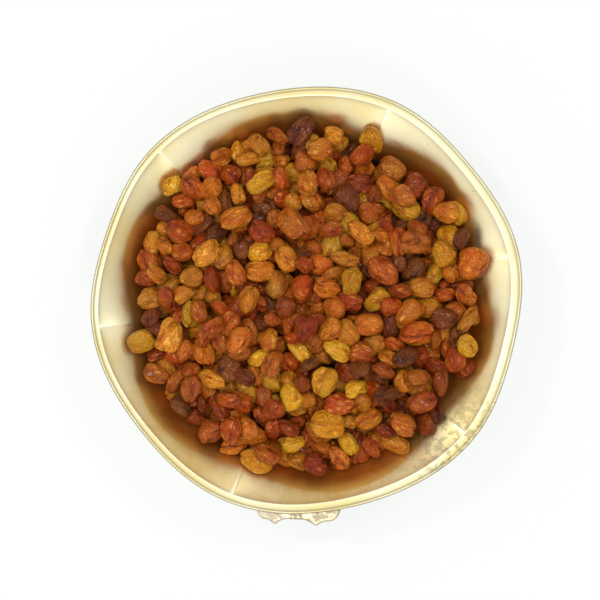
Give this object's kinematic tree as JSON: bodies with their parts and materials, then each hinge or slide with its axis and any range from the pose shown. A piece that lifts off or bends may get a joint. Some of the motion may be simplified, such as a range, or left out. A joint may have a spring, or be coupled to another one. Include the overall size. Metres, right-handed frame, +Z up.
{
  "type": "bowl of raisins",
  "caption": "Softly lobed brass serving bowl with a rounded lip, a turned foot ring and a scalloped lug under the lip, heaped with loose golden-brown raisins.",
  "frame": {"origin": "middle of the whole outline, on the surface that the bowl stands on", "axes": "+Z up out of the bowl, -Y towards the lug's side, +X to the right of the picture"},
  "size_m": [0.181, 0.185, 0.0731],
  "materials": {
    "bowl": "polished by hand, pale, with faint tarnish",
    "foot_ring": "turned and softly polished",
    "lug": "cast, duller than the bowl",
    "raisins": "wrinkled, translucent, semi-matt"
  },
  "bodies": {
    "root": {"bowl": "bowl", "foot_ring": "foot_ring", "lug": "lug", "raisins": "raisins"}
  },
  "joints": []
}
